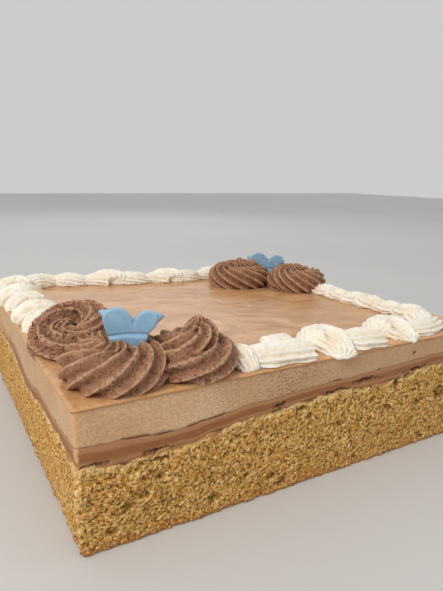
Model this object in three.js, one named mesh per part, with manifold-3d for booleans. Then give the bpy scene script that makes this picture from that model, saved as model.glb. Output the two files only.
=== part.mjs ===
// A speculoos slab cake: sponge, caramel, mousse and glaze, piped cream and sugar-paste butterflies.
// Millimetres, +Z up. +X runs along the front edge, +Y to the back, origin at the middle of the base.
import * as THREE from 'three';
import { mergeVertices } from 'three/addons/utils/BufferGeometryUtils.js';
import Module from 'manifold-3d';

const wasm = await Module();
wasm.setup();
const { clamp, degToRad, lerp, smoothstep } = THREE.MathUtils;

// The slab, cut with a knife from a larger sheet
const slabWidth = 200;
const slabDepth = 190;
const topHeight = 55.6;
const backLeftRise = 3;
const backRightFall = 5;
const glazeThickness = 1.4;
const stationsPerSide = 22;

// Clearance between pieces that touch, and the shortest edge that is kept in a solid
const seam = 0.3;
const shortestEdge = 0.03;

// Heights of the two seams that show on the sides: [distance round the slab, height]. The distance
// starts at the front left corner and runs along the front, the right side, the back, the left side.
const spongeTopLine = [
  [0, 34.5], [12, 32.6], [40, 34.2], [68, 37.6], [100, 39.3], [135, 38.3], [175, 41.2], [250, 40.2],
  [330, 38.6], [430, 40], [540, 38.4], [657, 37.8], [695, 31.4], [735, 35.2], [760, 35.4], [780, 34.5],
];
const caramelTopLine = [
  [0, 42.2], [14, 41.5], [32, 40.2], [70, 43.2], [110, 44.6], [174, 46.3], [250, 45], [330, 43.4],
  [430, 45], [540, 43.2], [675, 43.9], [703, 36.9], [729, 40.6], [746, 39.9], [780, 42.2],
];

// Sponge: a cut crumb with a browned, ragged lower edge
const crumbRelief = 0.55;
const lowerEdgeRelief = 1.3;
const lowerEdgeHeight = 1.6;
const lowerEdgeInset = 0.6;
const spongeBulge = 1.4;
const frontBulgeShare = 0.4;
const spongeLevels = [0.14, 0.34, 0.56, 0.8];

// Caramel and glaze: how far their faces stand back from the cut, and how uneven they are
const caramelInset = 0.35;
const caramelRelief = 0.35;
const mousseInset = 0.1;
const rimProud = 0.35;
const rimRelief = 0.3;
const rimRounding = 0.5;

// The slope of the top is carried by a ring that lies this share of the way from the edge inwards
const innerRing = 0.45;

// Chocolate cream rosettes, piped with a seven-pointed star nozzle: a coil round a twisted peak
const chocolateRidges = 7;
const chocolateGroove = 0.2;
const ropeRadius = 8.2;
const coilRadius = 10.4;
const coilTurns = 1.22;
const coilRise = 5.4;
const coilClimb = 2.6;
const coilArcs = 2;
const coilSteps = 8;
const ridgePitch = 46;
const rosetteHeight = 19.5;
const peakFootRadius = 11.5;
const peakTipRadius = 0.7;
const peakRoot = 2;
const peakTurn = 1.9;
const peakSteps = 5;

// White cream border, piped with a finer star nozzle: fat domes with stretches of pulled rope
const creamRidges = 9;
const creamGroove = 0.17;
const creamLift = 0.8;
const creamSag = 0.42;
const domeRadius = 12.8;
const domeEndShare = 0.66;
const domeSquash = 0.66;
const domeTurn = 1.7;
const domeSteps = 5;
const flatRadius = 10.2;
const flatSquash = 0.64;
const flatSteps = 2;
const flatTurn = 0.15;
const creamUneven = 0.5;

// Sugar-paste butterflies, pressed out with a small cutter. The pair of wings in front stands up,
// and the pair behind is wider and lower.
const pasteThickness = 2.1;
const pasteBevel = 0.5;
const wingSpan = 19.4;
const wingHeight = 10.8;
const wingFoot = 5.2;
const behindWider = 1.22;
const behindLower = 0.82;

// Rosettes, placed from the front left corner of the slab. long and deep stretch the coil along X
// and Y, way is +1 for a coil piped anticlockwise, start is the angle in degrees where the coil
// begins, and twist is how steeply the ridges climb. A later one is pressed in by those before it,
// which were piped over it.
const rosettes = [
  {
    name: 'chocolate_rosette_front_corner',
    x: 20, y: 17.6, size: 1.05, long: 1, deep: 1.03, tall: 0.74, way: 1, start: 60, twist: 1, lean: [1, 1],
  },
  {
    name: 'chocolate_rosette_front_left',
    x: 16.6, y: 55.5, size: 1.06, long: 1, deep: 1, tall: 0.84, way: 1, start: 20, twist: 0.2, lean: [-1, 1],
  },
  {
    name: 'chocolate_rosette_front_right',
    x: 48.2, y: 13.4, size: 0.96, long: 1, deep: 1.04, tall: 1.06, way: 1, start: 150, twist: 0.75,
    lean: [2.5, -1],
  },
  {
    name: 'chocolate_rosette_back_left',
    x: 148.2, y: 143.9, size: 1.03, long: 1.16, deep: 1, tall: 0.9, way: -1, start: 100, twist: 1,
    lean: [-3, 0],
  },
  {
    name: 'chocolate_rosette_back_right',
    x: 180, y: 116, size: 1.03, long: 1, deep: 1, tall: 0.84, way: -1, start: 200, twist: 1, lean: [0, 2],
  },
  {
    name: 'chocolate_rosette_back_corner',
    x: 178.5, y: 155, size: 0.96, long: 1, deep: 1, tall: 0.82, way: -1, start: -30, twist: 0.9, lean: [1, 0],
  },
];

// foot is the height of the wings' lower end over the glaze, and facing the way that they face
const butterflies = [
  { name: 'butterfly_front', x: 24.2, y: 15.8, foot: 9.6, facing: -124, lean: 12, spread: 34, size: 1 },
  { name: 'butterfly_back', x: 167, y: 137, foot: 8, facing: -122, lean: 14, spread: 44, size: 0.95 },
];

// White border, as runs of piped pieces. Each path is drawn from the front left corner of the slab,
// anticlockwise, so that the outer side is always on its right.
// A piece is the edge that it lies on, its kind, its length, how full it is and how far it leans out
// over the edge: a dome is a fat curl, and a flat is a stretch of pulled rope.
const creamRuns = [
  {
    path: [[61.4, 12.5], [100, 12], [150, 12], [174, 13.5], [186, 24], [187, 60], [187, 110]],
    pieces: [
      ['front', 'flat', 10.2, 0.93, 0], ['front', 'flat', 22.2, 1, 0], ['front', 'dome', 27, 1.04, 4.8],
      ['front', 'flat', 16, 1, 0], ['front', 'dome', 24.8, 0.99, 3], ['front', 'flat', 17, 1, 0],
      ['right', 'dome', 22, 1.03, 1.5], ['right', 'flat', 17, 0.97, 0], ['right', 'dome', 20, 0.97, 1],
      ['right', 'flat', 17, 0.95, 0], ['right', 'dome', 18, 0.94, 0.5],
    ],
  },
  {
    path: [
      [192, 177], [160, 177], [130, 171], [100, 170.5], [60, 173], [28, 176], [16, 164], [15, 130],
      [17, 76],
    ],
    pieces: [
      ['back', 'dome', 21, 0.98, 1], ['back', 'flat', 19, 0.98, 0], ['back', 'dome', 21, 1.02, 1],
      ['back', 'flat', 18, 1, 0], ['back', 'dome', 21, 1.05, 0.5], ['back', 'flat', 19, 1.04, 0],
      ['back', 'dome', 21, 1.08, 1], ['back', 'flat', 17, 1, 0], ['left', 'dome', 22, 1.08, 1.5],
      ['left', 'flat', 18, 1.04, 0.5], ['left', 'dome', 20, 1.1, 1.5], ['left', 'flat', 18, 1.02, 0],
      ['left', 'dome', 20, 1.08, 1.5], ['left', 'flat', 18, 1, 0],
    ],
  },
];

const up = new THREE.Vector3(0, 0, 1);

// Mulberry32, a small seeded generator of numbers from 0 to 1
function randomFrom(seed) {
  let state = seed;
  return () => {
    state = (state + 0x6d2b79f5) | 0;
    let mixed = Math.imul(state ^ (state >>> 15), 1 | state);
    mixed = (mixed + Math.imul(mixed ^ (mixed >>> 7), 61 | mixed)) ^ mixed;
    return ((mixed ^ (mixed >>> 14)) >>> 0) / 4294967296;
  };
}

// Height of a seam at a distance round the slab, eased between the marked heights
function seamHeight(line, distance) {
  const next = line.findIndex(([at]) => at >= distance);
  if (next <= 0) return line[0][1];
  const [from, low] = line[next - 1];
  const [to, high] = line[next];
  return lerp(low, high, smoothstep(distance, from, to));
}

// Height of the glazed top: the slab is a little higher at its back left than at its back right
function glazeHeight(x, y) {
  const across = x / slabWidth;
  return topHeight + (y / slabDepth) * (backLeftRise * (1 - across) - backRightFall * across);
}

// Points round the slab's outline, each with the direction that faces out of the side
function outlineStations(perSide) {
  const corners = [[0, 0], [slabWidth, 0], [slabWidth, slabDepth], [0, slabDepth]];
  const outward = [[0, -1], [1, 0], [0, 1], [-1, 0]];
  const stations = [];
  let travelled = 0;
  corners.forEach(([x, y], side) => {
    const [toX, toY] = corners[(side + 1) % 4];
    const length = Math.hypot(toX - x, toY - y);
    const before = outward[(side + 3) % 4];
    for (let i = 0; i < perSide; i += 1) {
      const share = i / perSide;
      const out = i === 0 ? [outward[side][0] + before[0], outward[side][1] + before[1]] : outward[side];
      stations.push({
        x: x + (toX - x) * share,
        y: y + (toY - y) * share,
        out,
        distance: travelled + length * share,
      });
    }
    travelled += length;
  });
  return stations;
}

// A closed solid as a manifold, turned so that its faces point out
function solidFrom(geometry) {
  const bare = geometry.index ? geometry.toNonIndexed() : geometry.clone();
  bare.deleteAttribute('normal');
  bare.deleteAttribute('uv');
  const merged = mergeVertices(bare, 1e-5);
  const triVerts = new Uint32Array(merged.index.array);
  const vertProperties = new Float32Array(merged.attributes.position.array);
  if (signedVolume(vertProperties, triVerts) < 0) triVerts.reverse();
  const data = { numProp: 3, vertProperties, triVerts, tolerance: shortestEdge };
  return new wasm.Manifold(new wasm.Mesh(data));
}

function signedVolume(positions, triangles) {
  const [a, b, c] = [new THREE.Vector3(), new THREE.Vector3(), new THREE.Vector3()];
  let volume = 0;
  for (let i = 0; i < triangles.length; i += 3) {
    a.fromArray(positions, 3 * triangles[i]);
    b.fromArray(positions, 3 * triangles[i + 1]);
    c.fromArray(positions, 3 * triangles[i + 2]);
    volume += a.dot(b.cross(c)) / 6;
  }
  return volume;
}

// The largest body of a solid, so that scraps left by a cut are dropped
function largestBody(solid) {
  const bodies = solid.decompose();
  return bodies.reduce((best, body) => (body.volume() > best.volume() ? body : best));
}

// A named mesh from a solid, moved from the corner of the slab to the part's own origin
function meshOf(name, solid, finish) {
  const data = largestBody(solid).getMesh();
  const geometry = new THREE.BufferGeometry();
  geometry.setAttribute('position', new THREE.BufferAttribute(data.vertProperties, 3));
  geometry.setIndex(new THREE.BufferAttribute(data.triVerts, 1));
  geometry.translate(-slabWidth / 2, -slabDepth / 2, 0);
  geometry.computeVertexNormals();
  const mesh = new THREE.Mesh(geometry, new THREE.MeshStandardMaterial(finish));
  mesh.name = name;
  return mesh;
}

// A closed geometry from rings of equal length: the sides join them, and each end is a fan
function ringsGeometry(rings, firstHub, lastHub) {
  const count = rings[0].length;
  const positions = rings.flat().flatMap((point) => [point.x, point.y, point.z]);
  const hubs = rings.length * count;
  positions.push(firstHub.x, firstHub.y, firstHub.z, lastHub.x, lastHub.y, lastHub.z);
  const index = [];
  for (let i = 0; i < count; i += 1) {
    const j = (i + 1) % count;
    for (let ring = 0; ring < rings.length - 1; ring += 1) {
      const low = ring * count;
      const high = low + count;
      index.push(low + i, low + j, high + j, low + i, high + j, high + i);
    }
    const last = (rings.length - 1) * count;
    index.push(hubs, j, i, hubs + 1, last + i, last + j);
  }
  const geometry = new THREE.BufferGeometry();
  geometry.setAttribute('position', new THREE.Float32BufferAttribute(positions, 3));
  geometry.setIndex(index);
  return geometry;
}

// One layer of the slab. Each level gives a height and an outward push for a station.
function layerGeometry(levels, hubBelow, hubAbove, perSide = stationsPerSide) {
  const stations = outlineStations(perSide);
  const middle = new THREE.Vector2(slabWidth / 2, slabDepth / 2);
  const rings = levels.map((level) => stations.map((station) => {
    const { height, push = 0, inset = 0 } = level(station);
    const x = lerp(station.x + station.out[0] * push, middle.x, inset);
    const y = lerp(station.y + station.out[1] * push, middle.y, inset);
    return new THREE.Vector3(x, y, height);
  }));
  const below = new THREE.Vector3(middle.x, middle.y, hubBelow);
  const above = new THREE.Vector3(middle.x, middle.y, hubAbove);
  return ringsGeometry(rings, below, above);
}

const spongeHubHeight = 38;
const caramelHubHeight = 44;
const glazeHubHeight = glazeHeight(slabWidth / 2, slabDepth / 2);

function spongeTop({ distance }) {
  return seamHeight(spongeTopLine, distance);
}

function caramelTop({ distance }) {
  return seamHeight(caramelTopLine, distance);
}

function mousseTop({ x, y }) {
  return glazeHeight(x, y) - glazeThickness;
}

// The ring that carries the slope of the top, at a lift over the glaze
function innerLevel(lift) {
  return (station) => {
    const x = lerp(station.x, slabWidth / 2, innerRing);
    const y = lerp(station.y, slabDepth / 2, innerRing);
    return { height: glazeHeight(x, y) + lift, inset: innerRing };
  };
}

// Sponge: rough cut sides that swell a little at mid height over a ragged browned lower edge
function spongeSolid() {
  const random = randomFrom(11);
  const rough = (amount) => (random() - 0.5) * 2 * amount;
  const onLeft = ({ distance }) => distance > 2 * slabWidth + slabDepth;
  const bulge = (station, share) => {
    const fullness = onLeft(station) ? 1 : frontBulgeShare;
    return fullness * spongeBulge * Math.sin(Math.PI * share);
  };
  const levels = [
    () => ({ height: 0, push: rough(lowerEdgeRelief / 2) - lowerEdgeInset }),
    () => ({ height: lowerEdgeHeight, push: rough(lowerEdgeRelief) }),
    ...spongeLevels.map((share) => (station) => ({
      height: lerp(lowerEdgeHeight, spongeTop(station), share),
      push: bulge(station, share) + rough(crumbRelief),
    })),
    (station) => ({ height: spongeTop(station) - seam, push: rough(crumbRelief / 2) }),
  ];
  return solidFrom(layerGeometry(levels, 0, spongeHubHeight - seam));
}

// Caramel: a thin spread that stands a little back from the cut, with an uneven face
function caramelSolid() {
  const random = randomFrom(23);
  const levels = [
    (station) => ({ height: spongeTop(station), push: -caramelInset }),
    (station) => ({
      height: (spongeTop(station) + caramelTop(station)) / 2,
      push: (random() - 0.5) * 2 * caramelRelief,
    }),
    (station) => ({ height: caramelTop(station) - seam, push: -caramelInset }),
  ];
  return solidFrom(layerGeometry(levels, spongeHubHeight, caramelHubHeight - seam));
}

// Mousse: a clean cut face
function mousseSolid() {
  const levels = [
    (station) => ({ height: caramelTop(station), push: -mousseInset }),
    (station) => ({ height: mousseTop(station) - seam, push: 0 }),
  ];
  const hubAbove = glazeHubHeight - glazeThickness - seam;
  return solidFrom(layerGeometry(levels, caramelHubHeight, hubAbove));
}

// Glaze: a thin skin with a soft rim that stands a hair proud of the mousse
function glazeSolid() {
  const random = randomFrom(37);
  const levels = [
    (station) => ({ height: mousseTop(station), push: mousseInset }),
    (station) => ({ height: mousseTop(station) + glazeThickness / 2, push: rimProud + random() * rimRelief }),
    (station) => ({ height: glazeHeight(station.x, station.y), push: -rimRounding }),
    innerLevel(0),
  ];
  return solidFrom(layerGeometry(levels, glazeHubHeight - glazeThickness, glazeHubHeight));
}

// The space that the slab takes up under the toppings, with the clearance that they keep from it
function toppingBed() {
  const reach = rimProud + rimRelief + seam;
  const perSide = 4;
  const levels = [
    () => ({ height: topHeight / 2, push: reach }),
    (station) => ({ height: glazeHeight(station.x, station.y) + seam, push: reach }),
    innerLevel(seam),
  ];
  return solidFrom(layerGeometry(levels, topHeight / 2, glazeHubHeight + seam, perSide));
}

// One section of a piped rope: a star whose points are the nozzle's ridges. Its lower half may be
// flatter than its upper half, where the rope has sunk onto the cake.
function starSection({ centre, side, rise, radius, squash, sag = 1, turn, ridges, groove }) {
  const points = [];
  for (let i = 0; i < 2 * ridges; i += 1) {
    const angle = (Math.PI * i) / ridges + turn;
    const reach = i % 2 === 0 ? radius : radius * (1 - groove);
    const height = Math.sin(angle) * reach * squash;
    const across = side.clone().multiplyScalar(Math.cos(angle) * reach);
    const lift = rise.clone().multiplyScalar(height < 0 ? height * sag : height);
    points.push(centre.clone().add(across).add(lift));
  }
  return points;
}

function ropeSolid(sections) {
  const rings = sections.map(starSection);
  return solidFrom(ringsGeometry(rings, sections[0].centre, sections.at(-1).centre));
}

// The coil of a rosette, whose ridges climb from the outer foot to the top. It is made in arcs, so
// that no arc crosses itself.
function coilSolids(spec, grow) {
  const sweep = (2 * Math.PI * coilTurns) / coilArcs;
  const base = glazeHeight(spec.x, spec.y);
  const solids = [];
  for (let arc = 0; arc < coilArcs; arc += 1) {
    const sections = [];
    for (let step = 0; step <= coilSteps; step += 1) {
      const travelled = (arc + step / coilSteps) * sweep;
      const share = travelled / (coilArcs * sweep);
      const angle = degToRad(spec.start) + spec.way * travelled;
      const inward = smoothstep(share, 0.75, 1);
      const reach = coilRadius * spec.size * (1 - 0.35 * inward);
      const swell = smoothstep(share, -0.05, 0.12) * (1 - 0.25 * inward);
      const side = new THREE.Vector3(Math.cos(angle), Math.sin(angle), 0);
      const along = new THREE.Vector3(side.x * spec.long, side.y * spec.deep, 0);
      const centre = new THREE.Vector3(spec.x, spec.y, base + coilRise + coilClimb * inward);
      sections.push({
        centre: centre.addScaledVector(along, reach),
        side,
        rise: up,
        radius: ropeRadius * spec.size * swell + grow,
        squash: 1,
        turn: (2 * Math.PI * travelled * coilRadius * spec.twist) / ridgePitch,
        ridges: chocolateRidges,
        groove: chocolateGroove,
      });
    }
    solids.push(ropeSolid(sections));
  }
  return solids;
}

// The middle of a rosette: a twisted cone drawn up to a small leaning tip
function peakSolid(spec, grow) {
  const base = glazeHeight(spec.x, spec.y);
  const rise = peakRoot + rosetteHeight * spec.tall + grow;
  const sections = [];
  for (let step = 0; step <= peakSteps; step += 1) {
    const share = step / peakSteps;
    const bend = share * share;
    const x = spec.x + spec.lean[0] * bend;
    const y = spec.y + spec.lean[1] * bend;
    sections.push({
      centre: new THREE.Vector3(x, y, base - peakRoot + rise * share),
      side: new THREE.Vector3(1, 0, 0),
      rise: new THREE.Vector3(0, 1, 0),
      radius: peakFootRadius * spec.size * (1 - share ** 1.6) + peakTipRadius + grow,
      squash: 1,
      turn: spec.way * peakTurn * share + degToRad(spec.start),
      ridges: chocolateRidges,
      groove: chocolateGroove,
    });
  }
  return ropeSolid(sections);
}

function rosetteSolid(spec, grow = 0) {
  return coilSolids(spec, grow).reduce((whole, arc) => whole.add(arc), peakSolid(spec, grow));
}

// One piece of the white border, between two distances along its path
function creamPieceSolid(curve, piece) {
  const { from, to, kind, fullness, lean, twist } = piece;
  const dome = kind === 'dome';
  const steps = dome ? domeSteps : flatSteps;
  const length = curve.getLength();
  const sections = [];
  for (let step = 0; step <= steps; step += 1) {
    const share = step / steps;
    const along = lerp(from + seam / 2, to - seam / 2, share);
    const at = clamp(along / length, 0, 1);
    const point = curve.getPointAt(at);
    const tangent = curve.getTangentAt(at);
    const side = new THREE.Vector3(tangent.y, -tangent.x, 0).normalize();
    const arch = Math.sin(Math.PI * share);
    const radius = dome ? domeRadius * lerp(domeEndShare, 1, arch) : flatRadius;
    const centre = new THREE.Vector3(point.x, point.y, glazeHeight(point.x, point.y) + creamLift);
    sections.push({
      centre: centre.addScaledVector(side, lean * arch),
      side,
      rise: up,
      radius: radius * fullness,
      squash: dome ? domeSquash : flatSquash,
      sag: creamSag,
      turn: twist + (dome ? domeTurn : flatTurn) * share,
      ridges: creamRidges,
      groove: creamGroove,
    });
  }
  return ropeSolid(sections);
}

// The pieces of one run, with their places along the path and a seeded unevenness
function piecesOfRun(run, runNumber) {
  const random = randomFrom(101 + runNumber);
  const points = run.path.map(([x, y]) => new THREE.Vector3(x, y, 0));
  const curve = new THREE.CatmullRomCurve3(points, false, 'centripetal');
  let along = 0;
  const pieces = run.pieces.map(([edge, kind, length, fullness, lean]) => {
    const twist = creamUneven * random();
    const piece = { edge, kind, fullness, lean, twist, from: along, to: along + length };
    along += length;
    return piece;
  });
  return { curve, pieces };
}

// Outline of one pair of wings seen flat: two rounded lobes with a notch, over a tapering foot
function wingShape(span, height, foot) {
  const shape = new THREE.Shape();
  const half = span / 2;
  shape.moveTo(-half * 0.36, -foot);
  shape.lineTo(half * 0.36, -foot);
  shape.lineTo(half * 0.74, 0);
  shape.bezierCurveTo(half * 1.08, height * 0.36, half * 1.14, height * 0.84, half * 0.72, height * 0.88);
  shape.bezierCurveTo(half * 0.4, height * 0.9, half * 0.22, height * 0.62, half * 0.14, height * 0.44);
  shape.bezierCurveTo(half * 0.02, height * 0.8, -half * 0.2, height, -half * 0.5, height);
  shape.bezierCurveTo(-half * 1.02, height, -half * 1.04, height * 0.4, -half * 0.74, 0);
  shape.closePath();
  return shape;
}

// One pair of wings as a standing plate of sugar paste with softened edges
function wingGeometry(span, height, foot, grow) {
  const geometry = new THREE.ExtrudeGeometry(wingShape(span, height, foot), {
    depth: pasteThickness - 2 * pasteBevel + 2 * grow,
    bevelThickness: pasteBevel,
    bevelSize: pasteBevel,
    bevelOffset: grow - pasteBevel,
    bevelSegments: 1,
    curveSegments: 5,
  });
  geometry.translate(0, foot, pasteBevel - pasteThickness / 2 - grow);
  geometry.rotateX(Math.PI / 2);
  return geometry;
}

// A butterfly folded along its body: two pairs of wings that open upwards from the same foot
function butterflySolid(spec, grow = 0) {
  const pairs = [false, true].map((behind) => {
    const span = wingSpan * spec.size * (behind ? behindWider : 1);
    const height = wingHeight * spec.size * (behind ? behindLower : 1);
    const tilt = (behind ? -1 : 1) * (spec.spread / 2) - spec.lean;
    const geometry = wingGeometry(span, height, wingFoot * spec.size, grow);
    geometry.rotateX(degToRad(tilt));
    geometry.rotateZ(degToRad(spec.facing + 90));
    geometry.translate(spec.x, spec.y, glazeHeight(spec.x, spec.y) + spec.foot);
    return solidFrom(geometry);
  });
  return pairs[0].add(pairs[1]);
}

const cake = new THREE.Group();

function addSlab() {
  const sponge = { color: 0xb28a5c, roughness: 0.95, metalness: 0 };
  const caramel = { color: 0x8f6139, roughness: 0.6, metalness: 0 };
  const mousse = { color: 0xc8a27c, roughness: 0.8, metalness: 0 };
  const glaze = { color: 0xcda383, roughness: 0.25, metalness: 0 };
  cake.add(meshOf('sponge_base', spongeSolid(), sponge));
  cake.add(meshOf('caramel_layer', caramelSolid(), caramel));
  cake.add(meshOf('mousse_layer', mousseSolid(), mousse));
  cake.add(meshOf('top_glaze', glazeSolid(), glaze));
}

// Everything piped or pressed into the top. Each piece is cut by the bed and by the pieces that
// were set after it and push into it, with the seam's clearance kept all round.
function addToppings() {
  const chocolate = { color: 0x8c6247, roughness: 0.85, metalness: 0 };
  const cream = { color: 0xf3eadf, roughness: 0.6, metalness: 0 };
  const paste = { color: 0x86b2d4, roughness: 0.5, metalness: 0 };
  const bed = toppingBed();
  const wings = butterflies.map((spec) => butterflySolid(spec, seam));
  const grownRosettes = rosettes.map((spec) => rosetteSolid(spec, seam));
  const without = (solid, cutters) => cutters.reduce((left, cutter) => left.subtract(cutter), solid);

  butterflies.forEach((spec) => cake.add(meshOf(spec.name, butterflySolid(spec).subtract(bed), paste)));

  rosettes.forEach((spec, i) => {
    const cutters = [bed, ...wings, ...grownRosettes.slice(0, i)];
    cake.add(meshOf(spec.name, without(rosetteSolid(spec), cutters), chocolate));
  });

  const counts = {};
  creamRuns.forEach((run, runNumber) => {
    const { curve, pieces } = piecesOfRun(run, runNumber);
    pieces.forEach((piece) => {
      counts[piece.edge] = (counts[piece.edge] ?? 0) + 1;
      const name = `cream_${piece.edge}_${counts[piece.edge]}`;
      cake.add(meshOf(name, without(creamPieceSolid(curve, piece), [bed, ...grownRosettes]), cream));
    });
  });
}

addSlab();
addToppings();

export default cake;
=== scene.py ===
"""The looks of a speculoos slab cake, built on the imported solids.

Sizes are in millimetres from the near left corner of the slab, as a baker would measure it, and
placed() turns them to metres in the part's frame. X runs along the front edge, Y to the back.
"""

import math
import random

import bmesh
import bpy
import numpy as np
from mathutils import Matrix, Vector, noise


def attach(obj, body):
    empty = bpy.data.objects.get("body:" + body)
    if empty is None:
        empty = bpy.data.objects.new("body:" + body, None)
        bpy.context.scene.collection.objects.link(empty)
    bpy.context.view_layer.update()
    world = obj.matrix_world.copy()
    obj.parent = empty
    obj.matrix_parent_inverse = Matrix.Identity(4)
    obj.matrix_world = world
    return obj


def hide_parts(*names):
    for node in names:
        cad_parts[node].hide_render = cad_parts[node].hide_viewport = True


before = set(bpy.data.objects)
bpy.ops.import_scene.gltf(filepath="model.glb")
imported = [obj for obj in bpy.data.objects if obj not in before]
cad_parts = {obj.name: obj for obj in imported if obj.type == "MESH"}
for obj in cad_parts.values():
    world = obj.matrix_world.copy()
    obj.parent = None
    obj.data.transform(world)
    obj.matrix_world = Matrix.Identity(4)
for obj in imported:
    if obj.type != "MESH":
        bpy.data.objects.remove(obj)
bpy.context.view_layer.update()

MM = 0.001
NEAR_LEFT = (-math.sqrt(0.5), -math.sqrt(0.5))

# The slab, with the sizes of the solids
SLAB_WIDTH = 200.0
SLAB_DEPTH = 190.0
TOP_HEIGHT = 55.6
BACK_LEFT_RISE = 3.0
BACK_RIGHT_FALL = 5.0
RIM_THICKNESS = 1.0
CORNER_RADIUS = 1.2
CORNER_STEPS = 4

# Heights of the two seams on the sides: (distance round the slab, height). The distance starts at
# the near left corner and runs along the front, the right side, the back and the left side.
SPONGE_TOP_LINE = [
    (0, 34.5), (12, 32.6), (40, 34.2), (68, 37.6), (100, 39.3), (135, 38.3), (175, 41.2), (250, 40.2),
    (330, 38.6), (430, 40), (540, 38.4), (657, 37.8), (695, 31.4), (735, 35.2), (760, 35.4), (780, 34.5),
]
CARAMEL_TOP_LINE = [
    (0, 42.2), (14, 41.5), (32, 40.2), (70, 43.2), (110, 44.6), (174, 46.3), (250, 45), (330, 43.4),
    (430, 45), (540, 43.2), (675, 43.9), (703, 36.9), (729, 40.6), (746, 39.9), (780, 42.2),
]

# Holes and cracks in the cut faces: distance round the slab, height, half length, half height, depth
SPONGE_TEARS = [
    (79.4, 38.3, 2.6, 1.5, 3.0), (91, 35.6, 1.8, 1.0, 1.6), (145, 36.3, 1.6, 3.4, 2.6), (175.4, 24.8, 3.0, 3.6, 2.2),
    (49.3, 7.8, 2.4, 2.0, 1.1), (16.2, 15.3, 2.2, 1.8, 0.9), (139, 26, 1.0, 1.0, 1.2), (58, 30, 1.2, 0.8, 1.2),
    (112, 8, 1.2, 0.8, 1.3), (29, 30.5, 3.4, 0.7, 1.4), (152, 38.4, 4.0, 0.9, 1.8),
    (225, 30, 2.2, 1.4, 2.0), (262, 36, 3.0, 1.2, 2.0), (301, 14, 1.8, 2.4, 1.6), (355, 35, 3.4, 1.0, 2.0),
    (402, 22, 2.0, 1.4, 1.6), (441, 37, 3.2, 1.2, 2.2), (480, 12, 1.6, 1.2, 1.4), (523, 35, 2.4, 2.6, 2.2),
    (566, 26, 1.8, 1.2, 1.6), (618, 34, 3.0, 1.2, 1.8), (671, 20, 1.4, 1.4, 1.2), (722, 31, 2.6, 1.0, 1.6),
    (748, 12, 1.8, 1.2, 1.2), (766, 30, 2.4, 0.9, 1.4),
]
CARAMEL_TEARS = [
    (5.5, 34.6, 3.6, 0.7, 1.4), (27.5, 34.2, 4.4, 0.7, 1.6), (107.5, 39.6, 6.5, 0.8, 1.6), (124, 41.6, 6.0, 0.7, 1.5),
    (158, 40.6, 6.5, 1.0, 2.0), (79.4, 39.6, 2.6, 0.9, 2.0), (240, 41.5, 5.5, 0.8, 1.5), (290, 40.6, 4.0, 0.8, 1.6),
    (345, 40, 6.0, 0.8, 1.6), (420, 41, 5.0, 0.8, 1.6), (500, 40, 4.5, 0.8, 1.5), (560, 39.6, 6.0, 0.8, 1.6),
    (640, 39, 5.0, 0.8, 1.5), (716, 34.6, 5.0, 0.8, 1.4), (756, 36.4, 4.0, 0.7, 1.4),
]
MOUSSE_TEARS = [
    (153.7, 49, 0.9, 0.7, 1.2), (318, 50, 0.8, 0.6, 1.0), (468, 47, 0.9, 0.8, 1.1), (655, 49, 0.8, 0.7, 1.0),
]

# Rosettes of chocolate cream. way is +1 for a coil piped anticlockwise, start is where the coil
# begins in degrees, twist how steeply the ridges climb, tip how far the coil leans towards the near
# left corner, and airy how many holes the cream has.
ROSETTE_KEYS = ("name", "x", "y", "size", "long", "deep", "tall", "way", "start", "twist", "tip", "lean", "ridges",
                "groove", "peaked", "airy")
ROSETTES = [
    ("front_corner", 20, 17.6, 1.05, 1, 1.03, 0.74, 1, 60, 1.2, 0, (1, 1), 7, 0.27, False, 0.35),
    ("front_left", 16.6, 55.5, 1.03, 1, 1, 0.6, -1, 20, 0.25, 20, (-2, -1), 9, 0.26, False, 1),
    ("front_right", 47.4, 13.4, 0.93, 1, 1.06, 1.06, 1, 150, 0.65, 0, (2.5, -1), 7, 0.32, True, 0.5),
    ("back_left", 149.4, 143, 1.06, 1.18, 1, 0.94, -1, 100, 1, 0, (2, 0), 9, 0.26, False, 0.3),
    ("back_right", 177.6, 118, 1.04, 1, 1.04, 0.84, -1, 200, 1, 0, (-2, 3), 9, 0.26, False, 0.3),
    ("back_corner", 178.5, 155, 0.96, 1, 1, 0.82, -1, -30, 0.9, 0, (1, 0), 9, 0.26, False, 0.3),
]
ROPE_RADIUS = 8.2
COIL_RADIUS = 10.4
COIL_TURNS = 1.9
COIL_RISE = 5.4
RIDGE_PITCH = 46.0
ROSETTE_HEIGHT = 19.5
PEAK_FOOT_RADIUS = 11.5
PEAK_TURN = 1.9

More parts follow.
